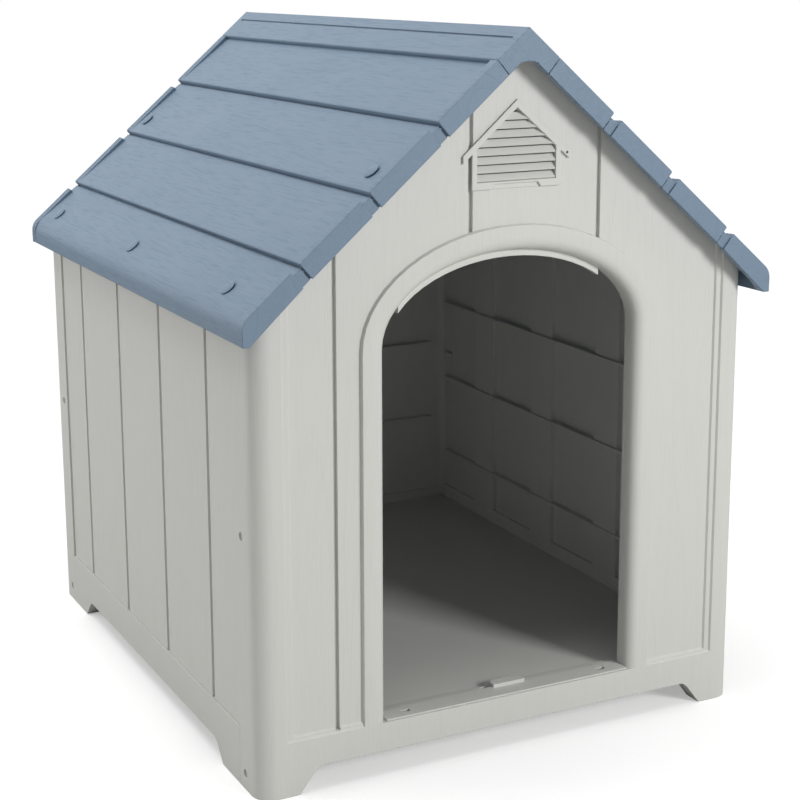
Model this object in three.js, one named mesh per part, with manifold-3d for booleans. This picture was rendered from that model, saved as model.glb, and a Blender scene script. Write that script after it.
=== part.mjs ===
// A moulded plastic dog house: two gabled end panels, two side panels, a floor tray
// with corner feet, a two-slope roof of four lapped courses a side, and a ridge cap.
// Millimetres, +Z up. The door faces -Y. The origin is on the ground below the middle.
import * as THREE from 'three';
import { mergeVertices } from 'three/addons/utils/BufferGeometryUtils.js';
import Module from 'manifold-3d';

const wasm = await Module();
wasm.setup();

// ---- driving dimensions ----------------------------------------------------------------
// body
const BODY_WIDTH = 680;          // across the side panels, half way up the wall
const BODY_DEPTH = 812;          // door face to rear face
const DRAFT = THREE.MathUtils.degToRad(0.48);   // mould draft: the side walls lean in
const DRAFT_LEVEL = 340;         // height at which the body has its nominal width
const CORNER_RADIUS = 24;
const POST_FRONT = 36;           // corner post, seen from the end
const POST_SIDE = 60;            // corner post, seen from the side
const POST_SIDE_WALL = 5;        // post wall facing the side
const END_SHEET = 3;             // moulded wall of the end panels
const SIDE_SHEET = 5.5;          // moulded wall of the side panels
const END_SINK = 5;              // boarded field of an end panel, behind its corner posts
const SIDE_SINK = 2.5;           // boarded field of a side panel, behind the corner posts
const BOARD_RELIEF = 4.5;        // board face over the bottom of its grooves, at the ends
const GROOVE_WIDTH = 6;
const BORDER = { slope: 2, sideStrip: 6.5, footStrip: 2.5 };   // two steps down to an end's field
const SIDE_GROOVE = { slot: 6, depth: 6, slope: 2 };
const FIT = 0.3;                 // gap between pieces that touch

// skirts, feet and floor tray
const SKIRT_END_BOTTOM = 32;     // underside of the skirt below the door
const SKIRT_SIDE_BOTTOM = 26;    // underside of the skirt along the sides
const SKIRT_END_TOP = 69;
const SKIRT_SIDE_TOP = 75;
const SKIRT_WALL = 9.5;
const FLOOR_TOP = 66;
const FLOOR_THICKNESS = 4;
const LIP_HEIGHT = 12;           // upstand that locates a wall panel, over its ledge
const LIP_THICKNESS = 4;
const FOOT_END_LENGTH = 52;      // foot on the ground, along the door face
const FOOT_SIDE_LENGTH = 118;    // foot on the ground, along the side
const FOOT_WALL = 14;
const FOOT_SWEEP = 24;           // how far a foot's inner edge slants in as it drops
const FOOT_ROUND = 0.2;          // share of that edge's height given to its rounded top

// doorway
const DOOR_HALF_WIDTH = 173;
const DOOR_RISE = 103;           // of the arch, over its upright sides
const DOOR_ROUND = 14;           // rounding from the surround's face into the doorway
const ARCH_BELOW_VENT = 44;      // from the vent's foot down to the arch's surround
const ARCH_STEPS = 28;
const ARCHITRAVE_WIDTH = 30;
const ARCHITRAVE_RISE = 133;
const ARCHITRAVE_SLOPE = 1.5;    // how far its outer edge slants out down to the field
const RETURN_DEPTH = 25;         // how deep the doorway's edge runs into the house
const RETURN_WALL = 4;
const STOP_DROP = 8;             // stop strip hanging behind the top of the arch
const STOP_SPAN = { left: 150, right: 125 };   // from the middle of the doorway
const STOP_DEPTH = 10;
const SILL_THICKNESS = 2.2;
const SILL_DEPTH = 31;
const SILL_SETBACK = 2;          // behind the door face
const SILL_TAB = { x: 10.5, width: 45, reach: 10, height: 6.5, root: 6, corner: 6 };
const SILL_CATCH = { from: -13, length: 12.7, width: 8 };   // hole beside the tab's left end
const SILL_SLOT = { x: 141, length: 12, width: 6, inset: 14 };

// roof
const EAVE_OVERHANG = 17;        // past the side walls' nominal faces
const VERGE_OVERHANG = 23;       // past the end panels
const RIDGE_HEIGHT = 890;
const PITCH = THREE.MathUtils.degToRad(40.7);
const COURSES = [54, 154, 267, 379];   // lower end of each course, down the slope
const LAP = 6;                   // step from one course down to the next
const ROOF_SLAB = 11;            // slope plane to the underside
const VERGE_FACE = 23;           // height of the verge board, square to the slope
const VERGE_WALL = 8;
const VERGE_LIP = 16;            // raised edge along the verge
const NECK = 15;                 // notch between two verge boards
const NECK_SINK = 3;
const EAVE_FACE = 27;            // height of the upright face at the eave
const EAVE_WALL = 8;
const EAVE_ROUND = 15;           // rounding from the slope into the upright face
const VERGE_ROUND = 10;          // the same at the lower end of a verge board
const NOSE = 2.5;                // rounding at the lower end of a course
const COURSE_SLOT = { width: 2.6, depth: 2.6 };   // sunk line at the foot of each step
const VERGE_SLOT = { width: 2.6, depth: 1.8 };    // the same on the verge, below each board
const CAP_WALL = 5.7;
const CAP_NOTCH_HALF = 14;
const CAP_NOTCH_RISE = 4.6;
const CAP_GROOVE = { down: 18, width: 3.2, depth: 1.6, inset: 15 };
const GABLE_FLANGE = 22;         // flange round the inside of a gable, under the roof
const GABLE_FLANGE_WALL = 15;

// gable vent
const VENT_BELOW_RIDGE = 82;
const VENT_HEIGHT = 102;
const VENT_HALF_WIDTH = 60;
const VENT_ROOF_HALF = 72;
const VENT_ROOF_THICKNESS = 9;
const VENT_PROUD = 3;
const LOUVRE_HALF_WIDTH = 53.5;
const LOUVRE_RISE = 8.5;         // from the vent's foot up to its louvre
const LOUVRE_COUNT = 8;
const LOUVRE_PITCH = 10;
const LOUVRE_TILT = THREE.MathUtils.degToRad(52);
const LOUVRE_BLADE = { length: 9.5, thickness: 1.8, back: 1.05, lift: 4.5 };
const VENT_PLUG_WALL = 3.5;      // the sleeve that goes through the wall
const VENT_PLUG_DEPTH = 11;
const VENT_FOOT = { bottomHalf: 34, topHalf: 29 };   // recess below the louvre
const DRAIN_HOLE = { x: 69, belowApex: 64, radius: 1.6, depth: 4, sides: 10 };  // in the vent's right tip

// patterns
const END_BOARDS = { first: 67, pitch: 176.5, grooves: 3 };   // from the left corner post
const SIDE_BOARDS = { pitch: 168.5, grooves: 4 };                // about the middle
const INNER_BANDS = [-240, -62, 118, 294];       // raised bands inside the side panels
const INNER_BAND = { width: 60, height: 6 };
const SIDE_RIBS = [151, 281, 409];
const REAR_RIBS = [210, 339];
const RIB = { width: 4, height: 9 };

// screws
const CORNER_SCREW = { head: 5, headHeight: 2.2, shank: 2.2, length: 17, sink: 1, sides: 10 };
const CORNER_SCREW_LEVELS = { lower: 21, upper: 319 };
const CORNER_SCREW_INSET = 43;   // from the end face
const ROOF_SCREW = { head: 10, headHeight: 3.6, shank: 2.4, length: 24, sink: 0.4, sides: 20 };
const HEAD_TOP = 0.78;           // radius of a head's flat top, as a share of its rim's
const HEAD_EDGE = 0.25;          // share of a head's height where its rim begins
const HEAD_RIM = 0.5;            // share of a head's height where its rim ends
const HEAD_SEAT = 0.72;          // radius of a head's underside, as a share of its rim's
const EAVE_SCREWS = { behindWall: 8, fromEnd: 62, shift: 20 };   // shift: toward one end of the row
const GABLE_SCREWS = { down: 238.5, inset: 39 };      // from the ridge and the verge
const BOSS = { radius: 7, length: 9 };
const EAVE_BOSS = { width: 26, depth: 24, drop: 30 };

// ---- derived places --------------------------------------------------------------------
const halfW = BODY_WIDTH / 2;
const halfD = BODY_DEPTH / 2;
const roofHalfW = halfW + EAVE_OVERHANG;
const roofHalfL = halfD + VERGE_OVERHANG;
const eaveBottom = onSlope(downAt(roofHalfW, 0), 0)[1] - EAVE_FACE;
const ventApex = RIDGE_HEIGHT - VENT_BELOW_RIDGE;
const ventBottom = ventApex - VENT_HEIGHT;
const louvreBottom = ventBottom + LOUVRE_RISE;
const doorSpring = ventBottom - ARCH_BELOW_VENT - ARCHITRAVE_RISE;   // where the arch begins
const sheetFace = halfD - END_SINK - BOARD_RELIEF;       // outer face of the end sheet
const sheetBack = sheetFace - END_SHEET;
const postEndWall = halfD - sheetBack;                   // post wall facing the end
const sideFace = halfW - SIDE_SINK;                      // outer face of the side boards
const sideSheetFace = halfW - POST_SIDE_WALL - FIT;     // it laps behind the corner posts
const sideSheetBack = sideSheetFace - SIDE_SHEET;
const postInnerX = halfW - POST_FRONT;
const postInnerY = halfD - POST_SIDE;
const innerCornerX = CORNER_RADIUS - POST_SIDE_WALL;     // rounding inside a corner post
const innerCornerY = CORNER_RADIUS - postEndWall;
const overlap = 0.5;             // how far united shapes run into each other
const shy = 0.3;                 // sunk so that no two sloping faces lie in one plane
const past = 1;                  // how far a cutting shape runs out past a face
const tall = RIDGE_HEIGHT + 100; // above everything; the roof line cuts it back

// A point of the right-hand slope: down it from the ridge, and out of it along its normal.
function onSlope(down, out) {
  return [
    down * Math.cos(PITCH) + out * Math.sin(PITCH),
    RIDGE_HEIGHT - down * Math.sin(PITCH) + out * Math.cos(PITCH),
  ];
}

// Distance down the slope at which a line `out` from the slope plane reaches x.
function downAt(x, out) {
  return (x - out * Math.sin(PITCH)) / Math.cos(PITCH);
}

// ---- solids ----------------------------------------------------------------------------
function solid(geometry) {
  const bare = geometry.clone();
  bare.deleteAttribute('normal');
  bare.deleteAttribute('uv');
  const merged = mergeVertices(bare, 1e-4);
  return new wasm.Manifold(new wasm.Mesh({
    numProp: 3,
    vertProperties: new Float32Array(merged.attributes.position.array),
    triVerts: new Uint32Array(merged.index.array),
  }));
}

function surface(body) {
  const mesh = body.getMesh();
  const geometry = new THREE.BufferGeometry();
  const points = new Float32Array(mesh.numVert * 3);
  for (let i = 0; i < mesh.numVert; i += 1) {
    for (let k = 0; k < 3; k += 1) points[3 * i + k] = mesh.vertProperties[mesh.numProp * i + k];
  }
  geometry.setAttribute('position', new THREE.BufferAttribute(points, 3));
  geometry.setIndex(new THREE.BufferAttribute(new Uint32Array(mesh.triVerts), 1));
  return geometry;
}

function join(first, ...others) {
  return others.reduce((sum, other) => sum.add(other), first);
}

function cut(body, ...tools) {
  return tools.reduce((rest, tool) => rest.subtract(tool), body);
}

function outline(points) {
  return new THREE.Shape(points.map(([a, b]) => new THREE.Vector2(a, b)));
}

function extrude(shape, depth) {
  return new THREE.ExtrudeGeometry(shape, { depth, bevelEnabled: false });
}

// An outline in (x, z), running from y = from to y = to.
function alongY(points, from, to) {
  const geometry = extrude(outline(points), to - from);
  geometry.rotateX(Math.PI / 2);
  geometry.translate(0, to, 0);
  return solid(geometry);
}

// An outline in (y, z), running from x = from to x = to.
function alongX(points, from, to) {
  const geometry = extrude(outline(points), to - from);
  const turn = new THREE.Matrix4().makeBasis(
    new THREE.Vector3(0, 1, 0), new THREE.Vector3(0, 0, 1), new THREE.Vector3(1, 0, 0));
  geometry.applyMatrix4(turn);
  geometry.translate(from, 0, 0);
  return solid(geometry);
}

// An outline in (x, y), running from z = from to z = to.
function alongZ(points, from, to) {
  const geometry = extrude(outline(points), to - from);
  geometry.translate(0, 0, from);
  return solid(geometry);
}

function box(x0, x1, y0, y1, z0, z1) {
  const geometry = new THREE.BoxGeometry(x1 - x0, y1 - y0, z1 - z0);
  geometry.translate((x0 + x1) / 2, (y0 + y1) / 2, (z0 + z1) / 2);
  return solid(geometry);
}

// A round rod along +Z from z = from to z = to.
function rod(radius, from, to, sides = 16) {
  const geometry = new THREE.CylinderGeometry(radius, radius, to - from, sides);
  geometry.rotateX(Math.PI / 2);
  geometry.translate(0, 0, (from + to) / 2);
  return geometry;
}

function placed(geometry, matrix) {
  return solid(geometry.clone().applyMatrix4(matrix));
}

// A solid through outlines in (x, z) with equal numbers of points, each at its own y,
// front to back. The points run anticlockwise as seen from the front.
function loft(levels) {
  const count = levels[0].points.length;
  const positions = levels.flatMap(({ y, points }) => points.flatMap(([x, z]) => [x, y, z]));
  const contour = levels[0].points.map(([x, z]) => new THREE.Vector2(x, z));
  const cap = THREE.ShapeUtils.triangulateShape(contour, []);
  const last = (levels.length - 1) * count;
  const index = cap.flatMap(([a, b, c]) => [a, b, c, last + c, last + b, last + a]);
  for (let near = 0; near < last; near += count) {
    for (let i = 0; i < count; i += 1) {
      const j = (i + 1) % count;
      const far = near + count;
      index.push(near + i, far + i, far + j, near + i, far + j, near + j);
    }
  }
  const geometry = new THREE.BufferGeometry();
  geometry.setAttribute('position', new THREE.Float32BufferAttribute(positions, 3));
  geometry.setIndex(index);
  return solid(geometry);
}

// Points of an arc of an ellipse, both ends included.
function arc(cx, cz, rx, rz, start, end, steps) {
  return Array.from({ length: steps + 1 }, (_, i) => {
    const angle = start + (end - start) * i / steps;
    return [cx + rx * Math.cos(angle), cz + rz * Math.sin(angle)];
  });
}

function mirrored(points) {
  return points.map(([a, b]) => [-a, b]).reverse();
}

// ---- shared outlines -------------------------------------------------------------------
// Everything under the roof's underside: wall tops are cut to this.
function underRoof() {
  const out = -(ROOF_SLAB + FIT);
  const [, apex] = onSlope(downAt(0, out), out);
  const wide = roofHalfW;
  const [, low] = onSlope(downAt(wide, out), out);
  return alongY([[-wide, -past], [wide, -past], [wide, low], [0, apex], [-wide, low]],
    -halfD - past, halfD + past);
}

// Mould draft: the body narrows as it rises. Every wall piece goes through this.
function drafted(body) {
  const geometry = surface(body);
  const position = geometry.attributes.position;
  const rate = Math.tan(DRAFT) / halfW;
  for (let i = 0; i < position.count; i += 1) {
    const level = position.getZ(i) - DRAFT_LEVEL;
    position.setX(i, position.getX(i) * (1 - rate * level));
  }
  return solid(geometry);
}

// An arched opening with upright sides, down to `bottom`.
function archOutline(halfWidth, rise, bottom) {
  const top = arc(0, doorSpring, halfWidth, rise, 0, Math.PI, ARCH_STEPS);
  return [[-halfWidth, bottom], [halfWidth, bottom], ...top];
}

// A small gabled outline, for the vent.
function gableOutline(half, bottom, apex) {
  const eave = apex - half * Math.tan(PITCH);
  return [[-half, bottom], [half, bottom], [half, eave], [0, apex], [-half, eave]];
}

const louvreApex = ventApex - VENT_ROOF_THICKNESS;
const plugHalf = LOUVRE_HALF_WIDTH + VENT_PLUG_WALL;
const plugApex = louvreApex + VENT_PLUG_WALL / Math.cos(PITCH);
const plugBottom = louvreBottom - VENT_PLUG_WALL;

// ---- materials -------------------------------------------------------------------------
const wallColour = 0xc9c7c2;
const roofColour = 0x55677c;

function wallPlastic() {
  return new THREE.MeshStandardMaterial({ color: wallColour, roughness: 0.55, metalness: 0 });
}

function roofPlastic() {
  return new THREE.MeshStandardMaterial({ color: roofColour, roughness: 0.5, metalness: 0 });
}

function screwSteel() {
  return new THREE.MeshStandardMaterial({ color: 0x9a9a98, roughness: 0.35, metalness: 0.9 });
}

// ---- feet ------------------------------------------------------------------------------
// The outline of a foot and a little of the skirt over it, from `near` to its slanting edge.
function footOutline(near, far, bottom) {
  const run = (share) => -far + share * FOOT_SWEEP;
  return [
    [-near, 0], [-far, 0], [run(1 - FOOT_ROUND), (1 - FOOT_ROUND) * bottom],
    [run(1 + FOOT_ROUND / 4), (1 - FOOT_ROUND / 5) * bottom], [run(1 + FOOT_ROUND), bottom],
    [run(1 + FOOT_ROUND), bottom + past], [-near, bottom + past],
  ];
}

// ---- floor tray ------------------------------------------------------------------------
const backX = halfW - POST_SIDE_WALL - FIT;      // how far the tray reaches behind a post
const backY = sheetBack - FIT;

// The tray's front left corner, which nests in the rounded corner post.
function trayCorner() {
  return arc(-halfW + CORNER_RADIUS, -halfD + CORNER_RADIUS, innerCornerX - FIT, innerCornerY - FIT,
    Math.PI, 1.5 * Math.PI, 6);
}

// The front left foot: an L behind the corner post, with the side foot beside the post.
function footQuarter() {
  const endFoot = alongY(footOutline(postInnerX - FIT, halfW - FOOT_END_LENGTH, SKIRT_END_BOTTOM),
    -backY, -backY + FOOT_WALL);
  const sideFoot = alongX(footOutline(postInnerY - FIT, halfD - FOOT_SIDE_LENGTH, SKIRT_SIDE_BOTTOM),
    -halfW, -backX + FOOT_WALL);
  const innerX = backX - FOOT_WALL;
  const innerY = backY - FOOT_WALL;
  const endX = postInnerX - FIT - overlap;
  const endY = postInnerY - FIT - overlap;
  const behindPost = alongZ([
    ...trayCorner(), [-endX, -backY], [-endX, -innerY], [-innerX, -innerY], [-innerX, -endY],
    [-backX, -endY],
  ], 0, FLOOR_TOP);
  const endRun = box(-endX, -(halfW - FOOT_END_LENGTH - 1.5 * FOOT_SWEEP), -backY, -innerY,
    SKIRT_END_BOTTOM, FLOOR_TOP);
  const sideRun = box(-halfW, -innerX, -endY, -(halfD - FOOT_SIDE_LENGTH - 1.5 * FOOT_SWEEP),
    SKIRT_SIDE_BOTTOM, FLOOR_TOP);
  return join(endFoot, sideFoot, behindPost, endRun, sideRun);
}

// The piece with its mirror images across the named axes.
function withMirrors(body, ...axes) {
  return axes.reduce((sum, axis) => {
    const flip = new THREE.Matrix4().makeScale(axis === 'x' ? -1 : 1, axis === 'y' ? -1 : 1, 1);
    const geometry = surface(sum).applyMatrix4(flip);
    const index = geometry.index.array;
    for (let i = 0; i < index.length; i += 3) [index[i], index[i + 1]] = [index[i + 1], index[i]];
    return sum.add(solid(geometry));
  }, body);
}

function floorTray() {
  const corner = trayCorner();
  const front = [...corner, ...mirrored(corner)];
  const floor = alongZ([...front, ...front.map(([x, y]) => [-x, -y])],
    FLOOR_TOP - FLOOR_THICKNESS, FLOOR_TOP);
  const skirtSideY = postInnerY - FIT;
  const sideSkirt = box(-halfW, -halfW + SKIRT_WALL, -skirtSideY, skirtSideY,
    SKIRT_SIDE_BOTTOM, SKIRT_SIDE_TOP);
  const endLipIn = DOOR_HALF_WIDTH + RETURN_WALL + 4 * FIT;
  const endLip = box(-halfW + CORNER_RADIUS, -endLipIn, -backY, -backY + LIP_THICKNESS,
    FLOOR_TOP - overlap, SKIRT_END_TOP + LIP_HEIGHT);
  const sideLipX = sideSheetBack - FIT;
  const sideLipY = halfD - CORNER_RADIUS;
  const sideLip = box(-sideLipX, -sideLipX + LIP_THICKNESS, -sideLipY, sideLipY,
    FLOOR_TOP - overlap, SKIRT_SIDE_TOP + LIP_HEIGHT);
  const sillEnd = -halfD + SILL_DEPTH + SILL_TAB.reach;
  const sillPad = box(-endLipIn, endLipIn, -backY, sillEnd + FIT,
    FLOOR_TOP - overlap, SKIRT_END_TOP);
  const tray = join(floor, withMirrors(sideSkirt, 'x'), withMirrors(endLip, 'x', 'y'),
    withMirrors(sideLip, 'x'), sillPad, withMirrors(footQuarter(), 'x', 'y'));
  return cut(drafted(cut(tray, ...sillHoles())), ...screwHoles('lower'));
}

// ---- corner screws ---------------------------------------------------------------------
// A screw with its head's top at z = 0, or the hole for it with `spare` all round.
function screwBody({ head, headHeight, shank, length, sides }, spare = 0) {
  const seat = head * HEAD_SEAT;
  const profile = [
    [0, spare], [head * HEAD_TOP + spare, spare], [head + spare, -headHeight * HEAD_EDGE],
    [head + spare, -headHeight * HEAD_RIM], [seat + spare, -headHeight - spare],
    [shank + spare, -headHeight - spare], [shank + spare, -length - spare], [0, -length - spare],
  ];
  const points = profile.map(([r, z]) => new THREE.Vector2(r, z)).reverse();
  const geometry = new THREE.LatheGeometry(points, sides);
  geometry.rotateX(Math.PI / 2);
  return geometry;
}

// Corner screws: one per corner and level, driven in along X from the side.
const corners = { front_left: [-1, -1], front_right: [1, -1], rear_left: [-1, 1], rear_right: [1, 1] };

function cornerScrewPlace([sx, sy], level) {
  const seat = halfW - CORNER_SCREW.sink;
  return new THREE.Matrix4().makeTranslation(sx * seat, sy * (halfD - CORNER_SCREW_INSET), level)
    .multiply(new THREE.Matrix4().makeRotationY(sx * Math.PI / 2));
}

function screwHoles(levelName) {
  const level = CORNER_SCREW_LEVELS[levelName];
  return Object.values(corners).map((corner) => {
    const place = cornerScrewPlace(corner, level);
    const sleeve = placed(screwBody(CORNER_SCREW, FIT), place);
    const mouth = placed(rod(CORNER_SCREW.head + FIT, -overlap, CORNER_SCREW.sink + past), place);
    return drafted(sleeve.add(mouth));
  });
}

// ---- end panels ------------------------------------------------------------------------
// Front left post: an L round the corner, rounded outside, standing on the ground.
function cornerPost() {
  const round = arc(-halfW + CORNER_RADIUS, -halfD + CORNER_RADIUS, CORNER_RADIUS, CORNER_RADIUS,
    Math.PI, 1.5 * Math.PI, 6);
  const inside = arc(-halfW + CORNER_RADIUS, -halfD + CORNER_RADIUS, innerCornerX, innerCornerY,
    1.5 * Math.PI, Math.PI, 6);
  return alongZ([
    [-halfW, -postInnerY], ...round, [-postInnerX, -halfD], [-postInnerX, -sheetBack],
    ...inside, [-halfW + POST_SIDE_WALL, -postInnerY],
  ], 0, tall);
}

// Two steps from the corner post's face down to the boarded field, seen in section:
// distance in from the post or up from the skirt, and depth behind their face.
function borderSection(strip) {
  const { slope } = BORDER;
  const back = END_SINK + BOARD_RELIEF + overlap;
  return [
    [-overlap, 0], [0, 0], [slope, END_SINK / 2], [slope + strip, END_SINK / 2],
    [2 * slope + strip, END_SINK], [2 * slope + strip, back], [-overlap, back],
  ];
}

// The boarded face between the corner posts, with its stepped border and its grooves.
function fieldBoards() {
  const side = alongZ(borderSection(BORDER.sideStrip).map(([run, depth]) => (
    [-postInnerX + run, -halfD + depth])), SKIRT_END_BOTTOM + past, tall);
  const foot = alongX(borderSection(BORDER.footStrip).map(([run, depth]) => (
    [-halfD + depth, SKIRT_END_TOP + run])), -postInnerX - overlap, postInnerX + overlap);
  const field = box(-postInnerX, postInnerX, -halfD + END_SINK, -sheetFace + overlap, SKIRT_END_TOP, tall);
  const grooves = Array.from({ length: END_BOARDS.grooves }, (_, i) => {
    const x = -postInnerX + END_BOARDS.first + i * END_BOARDS.pitch;
    return box(x - GROOVE_WIDTH / 2, x + GROOVE_WIDTH / 2, -halfD - past, -sheetFace,
      SKIRT_END_TOP + BORDER.slope, tall + past);
  });
  return cut(join(field, foot, withMirrors(side, 'x')), ...grooves);
}

// The skirt below the field and the ends' share of the feet.
function endSkirt() {
  const band = box(-postInnerX - overlap, postInnerX + overlap, -halfD, -sheetBack,
    SKIRT_END_BOTTOM, SKIRT_END_TOP);
  const foot = alongY(footOutline(postInnerX + overlap, halfW - FOOT_END_LENGTH, SKIRT_END_BOTTOM),
    -halfD, -sheetBack);
  return join(band, withMirrors(foot, 'x'));
}

// Follows the roof line round the inside of the gable, for the roof to be screwed to.
function gableFlange() {
  const out = -(ROOF_SLAB + GABLE_FLANGE_WALL);
  const innerApex = onSlope(downAt(0, out), out)[1];
  const reach = sideSheetBack - 3 * LIP_THICKNESS;
  const innerLow = onSlope(downAt(reach, out), out)[1];
  return alongY([[reach, innerLow], [reach, tall], [-reach, tall], [-reach, innerLow], [0, innerApex]],
    -sheetBack - overlap, -sheetBack + GABLE_FLANGE);
}

// An arched outline that stands `out` outside the doorway.
function aroundDoor(out, bottom) {
  return archOutline(DOOR_HALF_WIDTH + out, DOOR_RISE + out, bottom);
}

// The doorway's edge, turned into the house.
function doorwayReturn() {
  return alongY(aroundDoor(RETURN_WALL, SKIRT_END_TOP + FIT), -sheetFace, -halfD + RETURN_DEPTH);
}

// The raised band round the doorway, with a slanting outer edge.
function architrave() {
  const bottom = SKIRT_END_TOP - past;
  const band = (out) => archOutline(DOOR_HALF_WIDTH + ARCHITRAVE_WIDTH + out, ARCHITRAVE_RISE + out, bottom);
  return loft([
    { y: -halfD, points: band(0) },
    { y: -halfD + END_SINK, points: band(ARCHITRAVE_SLOPE) },
    { y: -sheetFace + overlap, points: band(ARCHITRAVE_SLOPE) },
  ]);
}

// The doorway itself, which widens in a quarter round to the surround's face.
function doorway() {
  const bottom = SKIRT_END_TOP;
  const rounding = arc(0, 0, DOOR_ROUND, DOOR_ROUND, 0, Math.PI / 2, 5).map(([inward, side]) => (
    { y: -halfD + DOOR_ROUND - inward, points: aroundDoor(DOOR_ROUND - side, bottom) }));
  return loft([
    { y: -halfD - past, points: aroundDoor(DOOR_ROUND, bottom) },
    ...rounding,
    { y: 0, points: aroundDoor(0, bottom) },
  ]);
}

// The strip that hangs behind the top of the arch.
function doorStop() {
  const inner = DOOR_RISE - STOP_DROP;
  const crescent = alongY(archOutline(DOOR_HALF_WIDTH + overlap, DOOR_RISE + overlap, doorSpring),
    -halfD + RETURN_DEPTH - STOP_DEPTH, -halfD + RETURN_DEPTH);
  const hollow = alongY(archOutline(DOOR_HALF_WIDTH - STOP_DROP, inner, 0), -halfD, halfD);
  const span = box(-STOP_SPAN.left, STOP_SPAN.right, -halfD, 0, doorSpring, tall);
  return crescent.subtract(hollow).intersect(span);
}

// The front end's panel, whole; the rear one is built here too and turned afterwards.
function endPanel(withDoor) {
  const sheet = box(-postInnerX - overlap, postInnerX + overlap, -sheetFace, -sheetBack,
    SKIRT_END_TOP - past, tall);
  let panel = join(sheet, withMirrors(cornerPost(), 'x'), fieldBoards(), endSkirt());
  if (withDoor) {
    panel = join(panel, architrave(), doorwayReturn()).subtract(doorway()).add(doorStop());
  } else {
    const ribs = REAR_RIBS.map((z) => box(-postInnerX, postInnerX, -sheetBack - overlap,
      -sheetBack + RIB.height, z - RIB.width / 2, z + RIB.width / 2));
    panel = join(panel, ...ribs);
  }
  const ventHole = alongY(gableOutline(plugHalf + FIT, plugBottom - FIT, plugApex + FIT), -halfD, 0);
  return panel.add(gableFlange()).subtract(ventHole).subtract(drainHole());
}

// The small hole through the vent's right-hand tip into the gable behind it.
function drainHole() {
  const face = -halfD + END_SINK;
  const place = new THREE.Matrix4().makeTranslation(DRAIN_HOLE.x, face, ventApex - DRAIN_HOLE.belowApex)
    .multiply(new THREE.Matrix4().makeRotationX(Math.PI / 2));
  return placed(rod(DRAIN_HOLE.radius, -DRAIN_HOLE.depth, END_SINK, DRAIN_HOLE.sides), place);
}

// Cut to the roof, drilled for its screws, and turned to its end of the house.
function endPanelBody(withDoor) {
  let panel = drafted(endPanel(withDoor)).intersect(underRoof());
  panel = cut(panel, ...gableScrewSleeves());
  if (!withDoor) panel = solid(surface(panel).rotateZ(Math.PI));
  return cut(panel, ...screwHoles('lower'), ...screwHoles('upper'));
}

// ---- side panels -----------------------------------------------------------------------
// Built as the left wall; the right one is the same moulding turned about.
function sidePanel(side) {
  const endY = halfD - CORNER_RADIUS - FIT;
  const ledge = SKIRT_SIDE_TOP + FIT;
  const sheet = box(-sideSheetFace, -sideSheetBack, -endY, endY, ledge, tall);
  const fieldY = postInnerY - FIT;
  const field = box(-sideFace, -sideSheetFace + overlap, -fieldY, fieldY, ledge, tall);
  const { slot, depth, slope } = SIDE_GROOVE;
  const grooves = Array.from({ length: SIDE_BOARDS.grooves }, (_, i) => {
    const y = (i - (SIDE_BOARDS.grooves - 1) / 2) * SIDE_BOARDS.pitch;
    const mouth = y - slot / 2 - slope * (1 + past / depth);
    return alongZ([
      [-sideFace + depth, y - slot / 2], [-sideFace + depth, y + slot / 2],
      [-sideFace - past, y + slot / 2], [-sideFace - past, mouth],
    ], 0, tall + past);
  });
  const bandBottom = SKIRT_SIDE_TOP + LIP_HEIGHT + 2 * FIT;
  const bands = INNER_BANDS.map((y) => box(-sideSheetBack - overlap, -sideSheetBack + INNER_BAND.height,
    y - INNER_BAND.width / 2, y + INNER_BAND.width / 2, bandBottom, tall));
  const ribEnd = sheetBack - GABLE_FLANGE - FIT;
  const ribs = SIDE_RIBS.map((z) => box(-sideSheetBack - overlap, -sideSheetBack + RIB.height,
    -ribEnd, ribEnd, z - RIB.width / 2, z + RIB.width / 2));
  const eaveBosses = eaveScrewPlaces(-1).map(([, y]) => {
    const top = onSlope(downAt(sideSheetBack, -ROOF_SLAB), -ROOF_SLAB)[1];
    return box(-sideSheetBack - overlap, -sideSheetBack + EAVE_BOSS.depth,
      y - EAVE_BOSS.width / 2, Math.min(y + EAVE_BOSS.width / 2, ribEnd), top - EAVE_BOSS.drop, tall);
  });
  const screwBosses = [-1, 1].map((end) => {
    const y = end * (halfD - CORNER_SCREW_INSET);
    const place = new THREE.Matrix4()
      .makeTranslation(-sideSheetBack - overlap, y, CORNER_SCREW_LEVELS.upper)
      .multiply(new THREE.Matrix4().makeRotationY(Math.PI / 2));
    return placed(rod(BOSS.radius, 0, BOSS.length + overlap), place);
  });
  let panel = join(cut(sheet.add(field), ...grooves), ...bands, ...ribs, ...eaveBosses, ...screwBosses);
  panel = drafted(panel).intersect(underRoof());
  if (side > 0) panel = solid(surface(panel).rotateZ(Math.PI));
  const holes = roofScrewPlaces(side, 'eave').map(({ place }) => placed(screwBody(ROOF_SCREW, FIT), place));
  return cut(panel, ...holes, ...screwHoles('upper'));
}

// ---- roof ------------------------------------------------------------------------------
// The rounded run from the slope into the upright eave face, sunk by `inset`.
function eaveNose(inset, round) {
  const face = roofHalfW - inset;
  const turn = onSlope(downAt(face, -inset) - round, -inset);
  const corner = onSlope(downAt(face, -inset), -inset);
  const drop = [face, corner[1] - round];
  return Array.from({ length: 6 }, (_, i) => {
    const t = i / 5;
    const blend = (a, b, c) => (1 - t) * (1 - t) * a + 2 * t * (1 - t) * b + t * t * c;
    return [blend(turn[0], corner[0], drop[0]), blend(turn[1], corner[1], drop[1])];
  });
}

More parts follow.
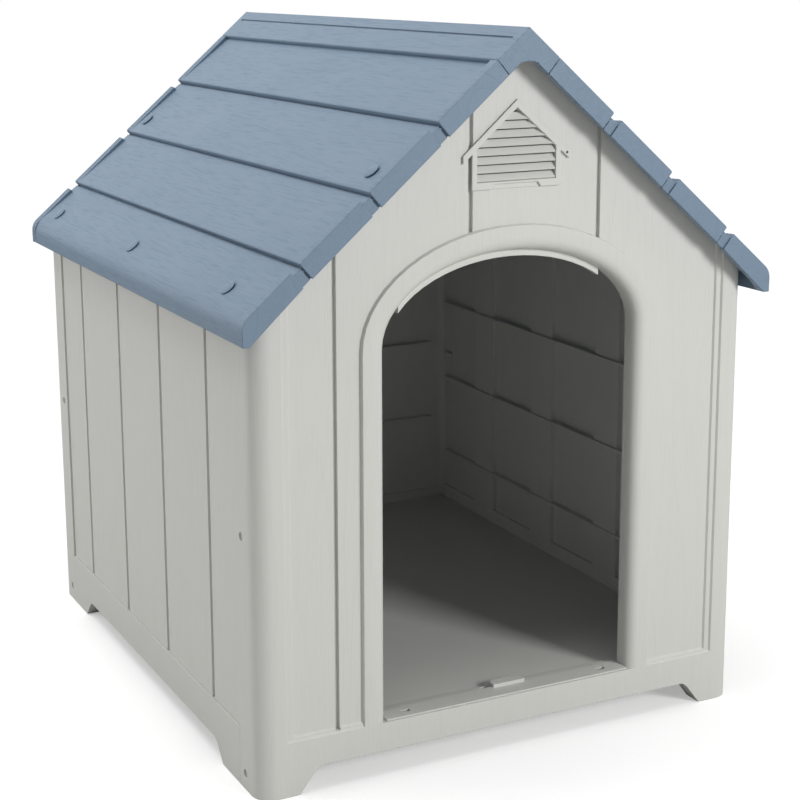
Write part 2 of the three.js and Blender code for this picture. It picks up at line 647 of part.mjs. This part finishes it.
// A course's rounded lower end, and the sunk line where the next one starts.
function courseNose(end) {
  const bottom = -LAP - COURSE_SLOT.depth;
  return [onSlope(end - NOSE, -0.1 * NOSE), onSlope(end - 0.25 * NOSE, -0.35 * NOSE),
    onSlope(end, -0.8 * NOSE), onSlope(end, bottom), onSlope(end + COURSE_SLOT.width, bottom),
    onSlope(end + COURSE_SLOT.width, -LAP)];
}

// How far the courses' face lies off the slope plane, at a distance down the slope.
function courseFace(down) {
  const ends = [...COURSES, downAt(roofHalfW, 0)];
  const next = ends.findIndex((end) => end > down);
  return -LAP * (ends[next] - down) / (ends[next] - ends[next - 1]);
}

function slopeSlab() {
  const start = -(CAP_WALL + FIT);
  const top = [onSlope(downAt(FIT, start), start), onSlope(COURSES[0] - NOSE / 2, start)];
  for (const end of COURSES.slice(1)) top.push(...courseNose(end));
  const sunk = 2 * shy;
  top.push(...eaveNose(sunk, EAVE_ROUND));
  top.push([roofHalfW - sunk, eaveBottom], [roofHalfW - EAVE_WALL, eaveBottom]);
  top.push(onSlope(downAt(roofHalfW - EAVE_WALL, -ROOF_SLAB), -ROOF_SLAB));
  top.push(onSlope(downAt(FIT, -ROOF_SLAB), -ROOF_SLAB));
  const half = roofHalfL - NECK_SINK;
  return cut(alongY(top.reverse(), -half, half), ...capRelief());
}

// The cap's gable faces hang past the slabs' upper ends, so the slabs stop short of them.
function capRelief() {
  const clear = roofHalfL - VERGE_WALL - FIT;
  const end = COURSES[0] + FIT;
  const wedge = [onSlope(end, -VERGE_FACE - past), onSlope(end, past), [0, RIDGE_HEIGHT + 2 * past], [0, 0]];
  return [-1, 1].map((sign) => {
    const span = [sign * clear, sign * (roofHalfL + past)].sort((a, b) => a - b);
    return alongY(wedge, ...span);
  });
}

// The outline of one verge board, sunk all round by `inset`, down to `depth` below the slope.
function vergeBoard(index, depth, inset) {
  const start = (index === 0 ? COURSES[0] + FIT + shy : COURSES[index] + NECK) + inset;
  const foot = depth + inset;
  if (index === COURSES.length - 1) {
    const bottom = eaveBottom + inset;
    const low = [[roofHalfW - inset, bottom], [roofHalfW - EAVE_WALL + inset, bottom]];
    return [onSlope(start, -foot), onSlope(start, -inset), ...eaveNose(inset, VERGE_ROUND), ...low].reverse();
  }
  const end = COURSES[index + 1] + shy - inset;
  return [
    onSlope(start, -foot), onSlope(start, -inset), onSlope(end - NOSE, -inset),
    onSlope(end - 0.25 * NOSE, -inset - 0.25 * NOSE), onSlope(end, -inset - NOSE), onSlope(end, -foot),
  ].reverse();
}

// The verge boards of one end, the necks between them and their raised inner edge.
function verge(endSide) {
  const span = (near, far) => [near, far].map((depth) => endSide * (roofHalfL - depth)).sort((a, b) => a - b);
  const neckStart = COURSES[0] + FIT + past;
  const neckEnd = (out) => onSlope(downAt(roofHalfW - EAVE_WALL, out), out);
  const neckTop = -LAP - overlap;
  const neckLow = -VERGE_FACE + shy;
  const neckFace = alongY([
    onSlope(neckStart, neckTop), onSlope(neckStart, neckLow), neckEnd(neckLow), neckEnd(neckTop),
  ], ...span(NECK_SINK, VERGE_WALL - past));
  const boards = COURSES.flatMap((_, index) => [
    alongY(vergeBoard(index, VERGE_FACE, 0), ...span(0, VERGE_WALL)),
    alongY(vergeBoard(index, ROOF_SLAB - overlap - shy, shy), ...span(VERGE_WALL - past, VERGE_LIP)),
  ]);
  const slots = COURSES.slice(1).map((course) => {
    const upper = course + shy / 2;
    const lower = upper + VERGE_SLOT.width;
    return alongY([
      onSlope(upper, past), onSlope(upper, -VERGE_FACE - past), onSlope(lower, -VERGE_FACE - past),
      onSlope(lower, past),
    ], ...span(-past, NECK_SINK + VERGE_SLOT.depth));
  });
  return cut(join(neckFace, ...boards), ...slots);
}

// A frame on a slope: X down it on the right and up it on the left, Z out of it.
function slopeFrame(side, down, y) {
  const [x, z] = onSlope(down, 0);
  return new THREE.Matrix4().makeTranslation(side * x, y, z)
    .multiply(new THREE.Matrix4().makeRotationY(side * PITCH));
}

// The eave screws' names and places along the house. The right half is the left one turned
// about, so its row is shifted the other way.
function eaveScrewPlaces(side) {
  const end = halfD - EAVE_SCREWS.fromEnd;
  return [['front', -end], ['middle', 0], ['rear', end]].map(([name, y]) => (
    [name, y - side * EAVE_SCREWS.shift]));
}

function roofScrewPlaces(side, row) {
  const slope = side > 0 ? 'right' : 'left';
  const eaveDown = downAt(halfW - EAVE_SCREWS.behindWall, 0);
  const eave = eaveScrewPlaces(side).map(([end, y]) => (
    { row: 'eave', name: `screw_roof_${slope}_eave_${end}`, down: eaveDown, y }));
  const gable = [['front', -1], ['rear', 1]].map(([end, sign]) => (
    { row: 'gable', name: `screw_roof_${slope}_gable_${end}`, down: GABLE_SCREWS.down,
      y: sign * (roofHalfL - GABLE_SCREWS.inset) }));
  return [...eave, ...gable].filter((one) => !row || one.row === row).map((one) => {
    const top = courseFace(one.down) + ROOF_SCREW.headHeight - ROOF_SCREW.sink;
    const seat = new THREE.Matrix4().makeTranslation(0, 0, top);
    return { ...one, place: slopeFrame(side, one.down, one.y).multiply(seat) };
  });
}

// The two gable screws of the front end, which the end panel is drilled for.
function gableScrewSleeves() {
  return [-1, 1].flatMap((side) => roofScrewPlaces(side, 'gable').filter(({ y }) => y < 0)
    .map(({ place }) => placed(screwBody(ROOF_SCREW, FIT), place)));
}

function roofPanel(side) {
  let panel = join(slopeSlab(), verge(-1), verge(1));
  if (side < 0) panel = solid(surface(panel).rotateZ(Math.PI));
  return cut(panel, ...roofScrewPlaces(side).map(({ place }) => placed(screwBody(ROOF_SCREW, FIT), place)));
}

function ridgeCap() {
  const end = COURSES[0];
  const nose = [onSlope(end, -CAP_WALL), onSlope(end, -0.5 * NOSE), onSlope(end - 0.5 * NOSE, 0)];
  const shellRight = [...nose, [0, RIDGE_HEIGHT]];
  const innerApex = onSlope(downAt(0, -CAP_WALL), -CAP_WALL);
  const shell = alongY([...shellRight, ...mirrored(nose), innerApex], -roofHalfL, roofHalfL);
  const notchEdge = onSlope(downAt(CAP_NOTCH_HALF, -VERGE_FACE), -VERGE_FACE);
  const notch = arc(0, notchEdge[1], CAP_NOTCH_HALF, CAP_NOTCH_RISE, 0, Math.PI, 6);
  const faceTop = -CAP_WALL / 2;
  const faceEnd = end - shy;
  const faceRight = [onSlope(faceEnd, -VERGE_FACE), onSlope(faceEnd, faceTop)];
  const faceApex = onSlope(downAt(0, faceTop), faceTop);
  const face = [...faceRight, faceApex, ...mirrored(faceRight), ...[...notch].reverse()];
  const faces = [-1, 1].map((sign) => {
    const span = [sign * roofHalfL, sign * (roofHalfL - VERGE_WALL)].sort((a, b) => a - b);
    return alongY(face, ...span);
  });
  const groove = [-1, 1].map((side) => {
    const length = 2 * (roofHalfL - CAP_GROOVE.inset);
    const strip = new THREE.BoxGeometry(CAP_GROOVE.width, length, 2 * CAP_GROOVE.depth);
    return placed(strip, slopeFrame(side, CAP_GROOVE.down, 0));
  });
  return cut(join(shell, ...faces), ...groove);
}

// ---- vent and sill ---------------------------------------------------------------------
function gableVent() {
  const back = -halfD + END_SINK - FIT;
  const louvre = gableOutline(LOUVRE_HALF_WIDTH, louvreBottom, louvreApex);
  const bodyOutline = gableOutline(VENT_HALF_WIDTH, ventBottom, ventApex - 1);
  const frame = alongY(bodyOutline, back - VENT_PROUD, back);
  const eave = (half, apex) => [half, apex - half * Math.tan(PITCH)];
  const roofOuter = eave(VENT_ROOF_HALF, ventApex);
  const roofInner = eave(VENT_ROOF_HALF, louvreApex);
  const chevron = alongY([
    roofInner, roofOuter, [0, ventApex], ...mirrored([roofInner, roofOuter]), [0, louvreApex],
  ], back - VENT_PROUD, back);
  const plug = alongY(gableOutline(plugHalf, plugBottom, plugApex), back - overlap, back + VENT_PLUG_DEPTH);
  const opening = alongY(louvre, -halfD - 2 * VENT_PROUD, 0);
  const footBottom = ventBottom - past;
  const footTop = plugBottom + past;
  const foot = alongY([
    [-VENT_FOOT.bottomHalf, footBottom], [VENT_FOOT.bottomHalf, footBottom],
    [VENT_FOOT.topHalf, footTop], [-VENT_FOOT.topHalf, footTop],
  ], -halfD - 2 * VENT_PROUD, back - overlap);
  const bladeGeometry = new THREE.BoxGeometry(
    2 * (LOUVRE_HALF_WIDTH + past), LOUVRE_BLADE.length, LOUVRE_BLADE.thickness);
  bladeGeometry.rotateX(LOUVRE_TILT);
  const channel = alongY(gableOutline(LOUVRE_HALF_WIDTH + overlap, louvreBottom - overlap,
    louvreApex + overlap), back - VENT_PROUD + overlap, back + VENT_PLUG_DEPTH - past);
  const blades = Array.from({ length: LOUVRE_COUNT }, (_, i) => {
    const z = louvreBottom + LOUVRE_BLADE.lift + LOUVRE_PITCH * i;
    const blade = bladeGeometry.clone().translate(0, back + LOUVRE_BLADE.back, z);
    return solid(blade).intersect(channel);
  });
  return join(cut(join(frame, chevron, plug), opening, foot, drainHole()), ...blades);
}

// The hole beside the sill's tab and the slots near its ends; the tray is cut with them too.
function sillHoles() {
  const up = SKIRT_END_TOP + FIT + SILL_TAB.height + past;
  const left = SILL_TAB.x - SILL_TAB.width / 2 + SILL_CATCH.from;
  const back = -halfD + SILL_DEPTH - past;
  const beside = box(left, left + SILL_CATCH.length, back, back + SILL_CATCH.width, 0, up);
  const slots = [-1, 1].map((sign) => {
    const x = sign * SILL_SLOT.x;
    const y = -halfD + SILL_SETBACK + SILL_SLOT.inset;
    return box(x - SILL_SLOT.length / 2, x + SILL_SLOT.length / 2, y - SILL_SLOT.width / 2,
      y + SILL_SLOT.width / 2, 0, up);
  });
  return [beside, ...slots];
}

function doorSill() {
  const bottom = SKIRT_END_TOP + FIT;
  const half = DOOR_HALF_WIDTH - 2 * FIT;
  const back = -halfD + SILL_DEPTH;
  const strip = box(-half, half, -halfD + SILL_SETBACK, back, bottom, bottom + SILL_THICKNESS);
  const tabLeft = SILL_TAB.x - SILL_TAB.width / 2;
  const tabRight = SILL_TAB.x + SILL_TAB.width / 2;
  const tabRoot = back - SILL_TAB.root;
  const tabTip = back + SILL_TAB.reach;
  const tab = alongZ([
    [tabLeft, tabRoot], [tabRight, tabRoot], [tabRight, tabTip - SILL_TAB.corner],
    [tabRight - SILL_TAB.corner, tabTip], [tabLeft + SILL_TAB.corner, tabTip],
    [tabLeft, tabTip - SILL_TAB.corner],
  ], bottom, bottom + SILL_TAB.height);
  return cut(strip.add(tab), ...sillHoles());
}

// ---- assembly --------------------------------------------------------------------------
const house = new THREE.Group();

function addPiece(name, body, material) {
  const mesh = new THREE.Mesh(surface(body), material);
  mesh.name = name;
  house.add(mesh);
}

addPiece('floor_tray', floorTray(), wallPlastic());
addPiece('panel_front', endPanelBody(true), wallPlastic());
addPiece('panel_rear', endPanelBody(false), wallPlastic());
addPiece('panel_left', sidePanel(-1), wallPlastic());
addPiece('panel_right', sidePanel(1), wallPlastic());
addPiece('door_sill', drafted(doorSill()), wallPlastic());
const vent = drafted(gableVent());
addPiece('vent_front', vent, wallPlastic());
addPiece('vent_rear', solid(surface(vent).rotateZ(Math.PI)), wallPlastic());
addPiece('roof_left', roofPanel(-1), roofPlastic());
addPiece('roof_right', roofPanel(1), roofPlastic());
addPiece('ridge_cap', ridgeCap(), roofPlastic());

for (const [cornerName, corner] of Object.entries(corners)) {
  for (const [levelName, level] of Object.entries(CORNER_SCREW_LEVELS)) {
    const body = drafted(placed(screwBody(CORNER_SCREW), cornerScrewPlace(corner, level)));
    addPiece(`screw_${cornerName}_${levelName}`, body, screwSteel());
  }
}

for (const side of [-1, 1]) {
  for (const { name, place } of roofScrewPlaces(side)) {
    addPiece(name, placed(screwBody(ROOF_SCREW), place), roofPlastic());
  }
}

export default house;
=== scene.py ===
import math

import bpy
from mathutils import Matrix, Vector

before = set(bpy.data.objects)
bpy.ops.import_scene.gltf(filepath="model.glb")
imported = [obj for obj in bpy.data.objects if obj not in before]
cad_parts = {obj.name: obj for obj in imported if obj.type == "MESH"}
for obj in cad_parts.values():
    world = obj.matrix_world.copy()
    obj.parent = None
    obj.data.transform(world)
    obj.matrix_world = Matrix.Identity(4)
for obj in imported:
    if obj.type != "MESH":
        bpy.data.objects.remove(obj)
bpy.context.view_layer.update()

# A moulded plastic dog house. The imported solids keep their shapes; this file gives them
# rounded edges, moulded wood grain and colour.
# Metres, +Z up. The doorway faces -Y.

# ---- the photograph's camera -----------------------------------------------------------
CAMERA_PLACE = Vector((-1.02035, -2.12709, 0.95526))
CAMERA_YAW = math.radians(26.70)        # from +Y towards +X
CAMERA_PITCH = math.radians(-14.15)
CAMERA_ROLL = math.radians(-0.30)
PICTURE_PIXELS = 800
FOCAL_PIXELS = 1713.67
SENSOR = 36.0

# ---- colours, as linear values ---------------------------------------------------------
WALL_GREY = (0.640, 0.640, 0.607)
WALL_GREY_DEEP = (0.560, 0.560, 0.533)
ROOF_BLUE = (0.176, 0.247, 0.330)
ROOF_BLUE_DEEP = (0.140, 0.203, 0.283)
SCREW_ZINC = (0.52, 0.52, 0.50)
SCREW_ZINC_DEEP = (0.40, 0.40, 0.39)
FLOOR_WHITE = (0.86, 0.86, 0.86)
FLOOR_BOUNCE = (0.62, 0.62, 0.61)        # what the paper throws back at the house
FLOOR_GLOW = 0.35                        # added for the camera only, so the paper reads white
FLOOR_FADE = (0.85, 1.9)                 # distance over which the floor turns plain white
PAPER_WHITE = 1.05                       # brightness of that plain white
FLOOR_HALF_SIZE = 14.0
WORLD_LIGHT = 0.20

SHARP_EDGE = math.radians(32)            # edges sharper than this stay sharp
WALL_EDGE = 0.0011                       # radius of a moulded edge, in the shading
ROOF_EDGE = 0.0016


# ---- shader maths ----------------------------------------------------------------------
class Value:
    """A shader socket that Python's operators can use."""

    def __init__(self, finish, socket):
        self.finish = finish
        self.socket = socket

    def maths(self, operation, *values):
        return self.finish.node("ShaderNodeMath", {"operation": operation}, dict(enumerate(values)))

    def __add__(self, other):
        return self.maths("ADD", self, other)

    def __sub__(self, other):
        return self.maths("SUBTRACT", self, other)

    def __rsub__(self, other):
        return self.maths("SUBTRACT", other, self)

    def __mul__(self, other):
        return self.maths("MULTIPLY", self, other)

    __radd__ = __add__

    def fraction(self):
        return self.maths("FRACT", self)

    def between(self, low, high):
        """0 at low, 1 at high, smooth between."""
        return self.finish.node(
            "ShaderNodeMapRange", {"interpolation_type": "SMOOTHSTEP"},
            {"Value": self, "From Min": low, "From Max": high},
        )


class Finish:
    """A procedural material, built one node at a time."""

    def __init__(self, name, **constants):
        self.material = bpy.data.materials.new(name)
        self.material.use_nodes = True
        self.tree = self.material.node_tree
        self.tree.nodes.clear()
        self.output = self.tree.nodes.new("ShaderNodeOutputMaterial")
        self.shader = self.tree.nodes.new("ShaderNodeBsdfPrincipled")
        self.tree.links.new(self.shader.outputs[0], self.output.inputs["Surface"])
        for socket, value in constants.items():
            self.shader.inputs[socket.replace("_", " ")].default_value = value

    def node(self, kind, settings=None, inputs=None, output=0):
        made = self.tree.nodes.new(kind)
        for name, value in (settings or {}).items():
            setattr(made, name, value)
        for name, value in (inputs or {}).items():
            if isinstance(value, Value):
                self.tree.links.new(value.socket, made.inputs[name])
            else:
                made.inputs[name].default_value = value
        return Value(self, made.outputs[output])

    def place(self):
        """The point being shaded, in metres in the part's frame."""
        return self.node("ShaderNodeTexCoord", output="Object")

    def stretched(self, point, scale):
        return self.node("ShaderNodeVectorMath", {"operation": "MULTIPLY"}, {0: point, 1: scale})

    def noise(self, point, scale, detail=2.0, roughness=0.5, distortion=0.0):
        return self.node(
            "ShaderNodeTexNoise", {"noise_dimensions": "3D"},
            {"Vector": point, "Scale": scale, "Detail": detail, "Roughness": roughness,
             "Distortion": distortion},
        )

    def mix(self, factor, first, second):
        made = self.tree.nodes.new("ShaderNodeMix")
        made.data_type = "RGBA"
        self.tree.links.new(factor.socket, made.inputs[0])
        for index, value in ((6, first), (7, second)):
            if isinstance(value, Value):
                self.tree.links.new(value.socket, made.inputs[index])
            else:
                made.inputs[index].default_value = (*value, 1.0)
        return Value(self, made.outputs[2])

    def feed(self, socket, value):
        self.tree.links.new(value.socket, self.shader.inputs[socket])

    def rounded(self, radius):
        """The surface's normal with its edges rounded."""
        return self.node("ShaderNodeBevel", {"samples": 6}, {"Radius": radius})

    def relief(self, height, depth, normal):
        """Bump of the given depth in metres, over a rounded normal."""
        bump = self.node(
            "ShaderNodeBump", {}, {"Height": height, "Distance": depth, "Strength": 1.0, "Normal": normal},
        )
        self.feed("Normal", bump)


def wood_grain(finish, along, across, strength):
    """Moulded wood grain: pores and flame lines drawn out along the boards.

    along and across scale the pattern by axis. Returns the height, the broad mottle, the
    pores and the flame lines.
    """
    point = finish.place()
    slow = finish.noise(finish.stretched(point, along), 6.0, 2.0)
    flames = (slow * 22.0 + finish.noise(finish.stretched(point, along), 40.0, 1.0) * 0.8).fraction()
    flame_lines = flames.between(0.55, 1.0) * (1 - flames.between(0.93, 1.0))
    pores = finish.noise(finish.stretched(point, across), 1.0, 3.0, 0.55, 0.15).between(0.50, 0.66)
    mottle = finish.noise(point, 9.0, 3.0)
    height = (1 - flame_lines * 0.45) - pores * strength
    return height, mottle, pores, flame_lines


def wall_plastic():
    finish = Finish("wall_plastic", Roughness=0.5, Specular_IOR_Level=0.35)
    height, mottle, pores, flames = wood_grain(finish, (1.0, 1.0, 0.10), (420.0, 420.0, 22.0), 0.55)
    tone = finish.mix(mottle * 0.12 + flames * 0.10 + pores * 0.10, WALL_GREY, WALL_GREY_DEEP)
    finish.feed("Base Color", tone)
    finish.feed("Roughness", 0.46 + pores * 0.10 + mottle * 0.06)
    finish.relief(height, 0.00012, finish.rounded(WALL_EDGE))
    return finish.material


def roof_plastic():
    finish = Finish("roof_plastic", Roughness=0.45, Specular_IOR_Level=0.4)
    height, mottle, pores, flames = wood_grain(finish, (1.0, 0.10, 1.0), (420.0, 22.0, 420.0), 0.42)
    tone = finish.mix(mottle * 0.35 + flames * 0.18 + pores * 0.20, ROOF_BLUE, ROOF_BLUE_DEEP)
    finish.feed("Base Color", tone)
    finish.feed("Roughness", 0.40 + pores * 0.14 + mottle * 0.10)
    finish.relief(height, 0.00018, finish.rounded(ROOF_EDGE))
    return finish.material


def plain_plastic():
    """The tray's, the sill's and the vents' moulded plastic, with a fine matt texture."""
    finish = Finish("tray_plastic", Roughness=0.5, Specular_IOR_Level=0.35)
    point = finish.place()
    mottle = finish.noise(point, 11.0, 3.0)
    grit = finish.noise(point, 900.0, 2.0)
    finish.feed("Base Color", finish.mix(mottle * 0.22 + grit * 0.08, WALL_GREY, WALL_GREY_DEEP))
    finish.feed("Roughness", 0.46 + grit * 0.12)
    finish.relief(grit, 0.00004, finish.rounded(WALL_EDGE))
    return finish.material


def screw_zinc():
    finish = Finish("screw_zinc", Roughness=0.35, Metallic=1.0)
    point = finish.place()
    turned = finish.noise(finish.stretched(point, (900.0, 900.0, 900.0)), 1.0, 2.0)
    finish.feed("Base Color", finish.mix(turned, SCREW_ZINC, SCREW_ZINC_DEEP))
    finish.feed("Roughness", 0.30 + turned * 0.22)
    return finish.material


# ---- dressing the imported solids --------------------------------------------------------
def smooth_group():
    """Smooth shading that keeps edges sharper than SHARP_EDGE."""
    group = bpy.data.node_groups.new("smooth_faces", "GeometryNodeTree")
    group.interface.new_socket("Geometry", in_out="INPUT", socket_type="NodeSocketGeometry")
    group.interface.new_socket("Geometry", in_out="OUTPUT", socket_type="NodeSocketGeometry")
    start = group.nodes.new("NodeGroupInput")
    end = group.nodes.new("NodeGroupOutput")
    angle = group.nodes.new("GeometryNodeInputMeshEdgeAngle")
    sharp = group.nodes.new("FunctionNodeCompare")
    sharp.data_type = "FLOAT"
    sharp.operation = "GREATER_THAN"
    sharp.inputs["B"].default_value = SHARP_EDGE
    edges = group.nodes.new("GeometryNodeSetShadeSmooth")
    edges.domain = "EDGE"
    edges.inputs["Shade Smooth"].default_value = False
    faces = group.nodes.new("GeometryNodeSetShadeSmooth")
    faces.domain = "FACE"
    faces.inputs["Shade Smooth"].default_value = True
    link = group.links.new
    link(start.outputs[0], faces.inputs["Geometry"])
    link(faces.outputs[0], edges.inputs["Geometry"])
    link(angle.outputs["Unsigned Angle"], sharp.inputs["A"])
    link(sharp.outputs[0], edges.inputs["Selection"])
    link(edges.outputs[0], end.inputs[0])
    return group


smooth_faces = smooth_group()


def dress(node, material):
    """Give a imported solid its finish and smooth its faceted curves."""
    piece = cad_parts[node]
    piece.data.materials.clear()
    piece.data.materials.append(material)
    weld = piece.modifiers.new("weld", "WELD")
    weld.merge_threshold = 1e-6
    smooth = piece.modifiers.new("smooth", "NODES")
    smooth.node_group = smooth_faces


wall = wall_plastic()
roof = roof_plastic()
plain = plain_plastic()
zinc = screw_zinc()

for name in ("panel_front", "panel_rear", "panel_left", "panel_right"):
    dress(name, wall)
for name in ("floor_tray", "door_sill", "vent_front", "vent_rear"):
    dress(name, plain)
for name in ("roof_left", "roof_right", "ridge_cap"):
    dress(name, roof)
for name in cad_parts:
    if name.startswith("screw_"):
        dress(name, roof if name.startswith("screw_roof_") else zinc)


# ---- floor, light and camera -----------------------------------------------------------
def studio_floor():
    mesh = bpy.data.meshes.new("studio_floor")
    edge = FLOOR_HALF_SIZE
    corners = [(-edge, -edge, 0), (edge, -edge, 0), (edge, edge, 0), (-edge, edge, 0)]
    mesh.from_pydata(corners, [], [(0, 1, 2, 3)])
    floor = bpy.data.objects.new("studio_floor", mesh)
    bpy.context.scene.collection.objects.link(floor)
    finish = Finish("studio_floor", Base_Color=(*FLOOR_WHITE, 1.0), Roughness=0.9)
    finish.shader.inputs["Specular IOR Level"].default_value = 0.0
    dull = finish.tree.nodes.new("ShaderNodeBsdfDiffuse")
    dull.inputs["Color"].default_value = (*FLOOR_BOUNCE, 1.0)
    rays = finish.tree.nodes.new("ShaderNodeLightPath")
    glow = finish.tree.nodes.new("ShaderNodeEmission")
    glow.inputs["Strength"].default_value = FLOOR_GLOW
    lit = finish.tree.nodes.new("ShaderNodeAddShader")
    paper = finish.tree.nodes.new("ShaderNodeEmission")
    paper.inputs["Strength"].default_value = PAPER_WHITE
    reach = finish.node("ShaderNodeVectorMath", {"operation": "LENGTH"}, {0: finish.place()}, output=1)
    fade = finish.tree.nodes.new("ShaderNodeMixShader")
    chosen = finish.tree.nodes.new("ShaderNodeMixShader")
    link = finish.tree.links.new
    link(finish.shader.outputs[0], lit.inputs[0])
    link(glow.outputs[0], lit.inputs[1])
    link(reach.between(*FLOOR_FADE).socket, fade.inputs[0])
    link(lit.outputs[0], fade.inputs[1])
    link(paper.outputs[0], fade.inputs[2])
    link(rays.outputs["Is Camera Ray"], chosen.inputs[0])
    link(dull.outputs[0], chosen.inputs[1])
    link(fade.outputs[0], chosen.inputs[2])
    link(chosen.outputs[0], finish.output.inputs["Surface"])
    mesh.materials.append(finish.material)


def studio_world(strength):
    world = bpy.data.worlds.new("studio_world")
    bpy.context.scene.world = world
    world.use_nodes = True
    tree = world.node_tree
    tree.nodes.clear()
    output = tree.nodes.new("ShaderNodeOutputWorld")
    seen = tree.nodes.new("ShaderNodeBackground")
    seen.inputs["Color"].default_value = (1, 1, 1, 1)
    seen.inputs["Strength"].default_value = 1.0
    lighting = tree.nodes.new("ShaderNodeBackground")
    lighting.inputs["Color"].default_value = (1, 1, 1, 1)
    lighting.inputs["Strength"].default_value = strength
    rays = tree.nodes.new("ShaderNodeLightPath")
    direct = tree.nodes.new("ShaderNodeMath")
    direct.operation = "MAXIMUM"
    either = tree.nodes.new("ShaderNodeMath")
    either.operation = "MAXIMUM"
    chosen = tree.nodes.new("ShaderNodeMixShader")
    link = tree.links.new
    link(rays.outputs["Is Camera Ray"], direct.inputs[0])
    link(rays.outputs["Is Glossy Ray"], direct.inputs[1])
    link(direct.outputs[0], either.inputs[0])
    link(rays.outputs["Is Transmission Ray"], either.inputs[1])
    link(either.outputs[0], chosen.inputs[0])
    link(lighting.outputs[0], chosen.inputs[1])
    link(seen.outputs[0], chosen.inputs[2])
    link(chosen.outputs[0], output.inputs[0])


def softbox(name, place, target, width, height, power):
    data = bpy.data.lights.new(name, "AREA")
    data.shape = "RECTANGLE"
    data.size = width
    data.size_y = height
    data.energy = power
    lamp = bpy.data.objects.new(name, data)
    lamp.location = place
    lamp.rotation_euler = (Vector(target) - Vector(place)).to_track_quat("-Z", "Y").to_euler()
    lamp.visible_camera = False
    bpy.context.scene.collection.objects.link(lamp)


def photo_camera():
    ahead = Vector((
        math.sin(CAMERA_YAW) * math.cos(CAMERA_PITCH),
        math.cos(CAMERA_YAW) * math.cos(CAMERA_PITCH),
        math.sin(CAMERA_PITCH),
    ))
    level = Vector((math.cos(CAMERA_YAW), -math.sin(CAMERA_YAW), 0))
    above = level.cross(ahead)
    right = level * math.cos(CAMERA_ROLL) + above * math.sin(CAMERA_ROLL)
    up = above * math.cos(CAMERA_ROLL) - level * math.sin(CAMERA_ROLL)
    data = bpy.data.cameras.new("photo_camera")
    data.sensor_width = SENSOR
    data.lens = SENSOR * FOCAL_PIXELS / PICTURE_PIXELS
    data.clip_end = 60
    camera = bpy.data.objects.new("photo_camera", data)
    turn = Matrix((right, up, -ahead)).transposed().to_4x4()
    camera.matrix_world = Matrix.Translation(CAMERA_PLACE) @ turn
    bpy.context.scene.collection.objects.link(camera)
    bpy.context.scene.camera = camera


studio_floor()
studio_world(WORLD_LIGHT)
softbox("key_right_front", (1.66, -3.88, 1.87), (0, -0.2, 0.4), 1.1, 1.1, 108)
softbox("top", (-0.5, 0.2, 3.6), (0, 0, 0.4), 3.0, 3.0, 84)
softbox("fill_left", (-3.0, 1.5, 1.6), (0, 0, 0.4), 2.0, 2.0, 37)
photo_camera()
bpy.context.scene.view_settings.view_transform = "Standard"
